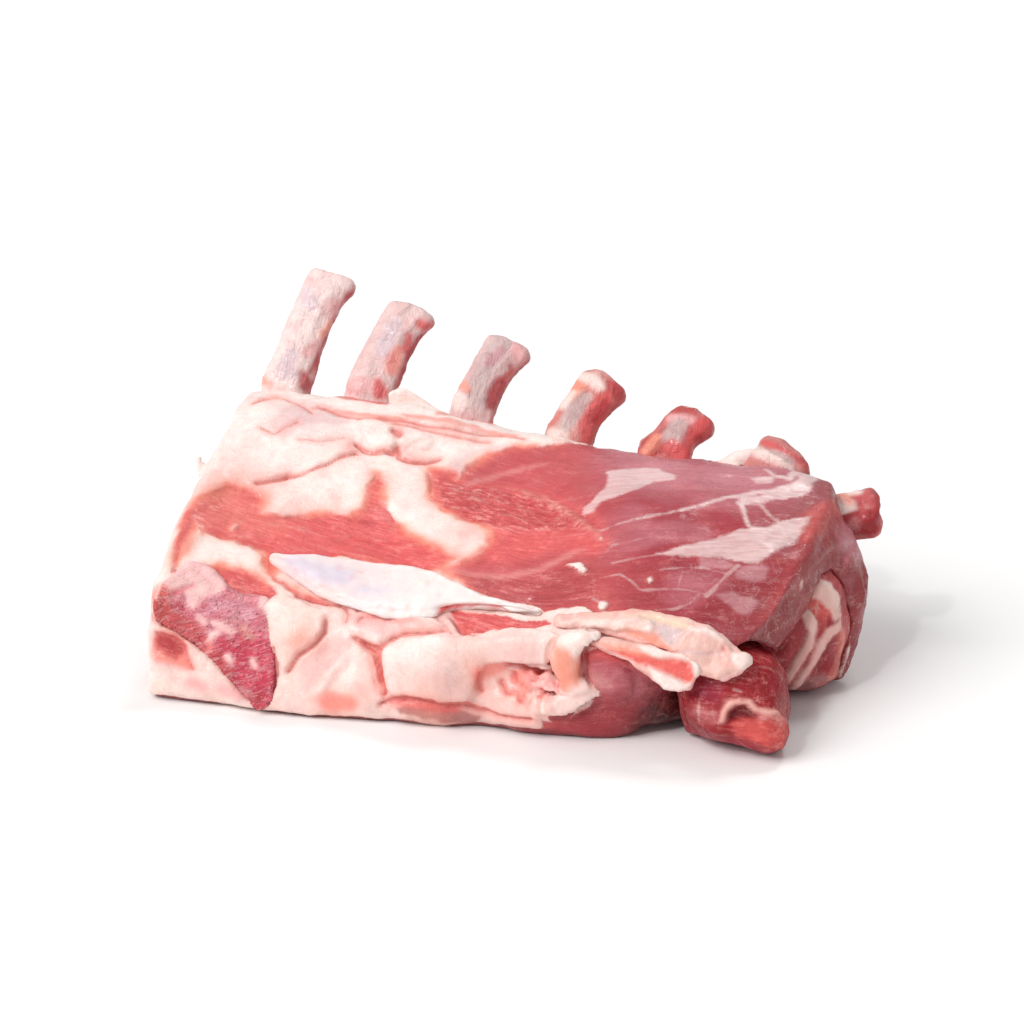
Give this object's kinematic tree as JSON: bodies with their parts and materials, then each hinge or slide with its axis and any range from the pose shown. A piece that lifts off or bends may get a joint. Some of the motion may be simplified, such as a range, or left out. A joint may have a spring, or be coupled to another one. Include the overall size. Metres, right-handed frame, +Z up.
{
  "type": "raw rack of lamb",
  "caption": "Wedge of raw lamb loin and fat with bared rib bones, sawn chine bone and a piece of blade cartilage, for cooking or carving into cutlets.",
  "frame": {"origin": "on the board, under the middle of the rack's outline in X and Y", "axes": "+X along the spine from the shoulder end to the loose loin end, -Y towards the sawn spine side, +Z up, with the rib ends pointing up and back"},
  "size_m": [0.1896, 0.1122, 0.0938],
  "materials": {
    "meat": "moist raw muscle with silverskin and cream fat",
    "loin": "moist dark red muscle with thin pale membrane",
    "bone": "scraped bone with scraps of pink membrane",
    "sawn_bone": "sawn spongy bone, porous and blood pink",
    "cartilage": "smooth wet bluish white cartilage",
    "fat": "soft cream fat with orange-red muscle along it"
  },
  "bodies": {
    "root": {"meat": "meat", "eye_of_loin": "loin", "end_muscle": "loin", "chine_bone": "sawn_bone", "blade_cartilage": "cartilage", "fat_strip_upper": "fat", "fat_strip_lower": "fat", "rib_1": "bone", "rib_2": "bone", "rib_3": "bone", "rib_4": "bone", "rib_5": "bone", "rib_6": "bone", "rib_7": "bone"}
  },
  "joints": []
}
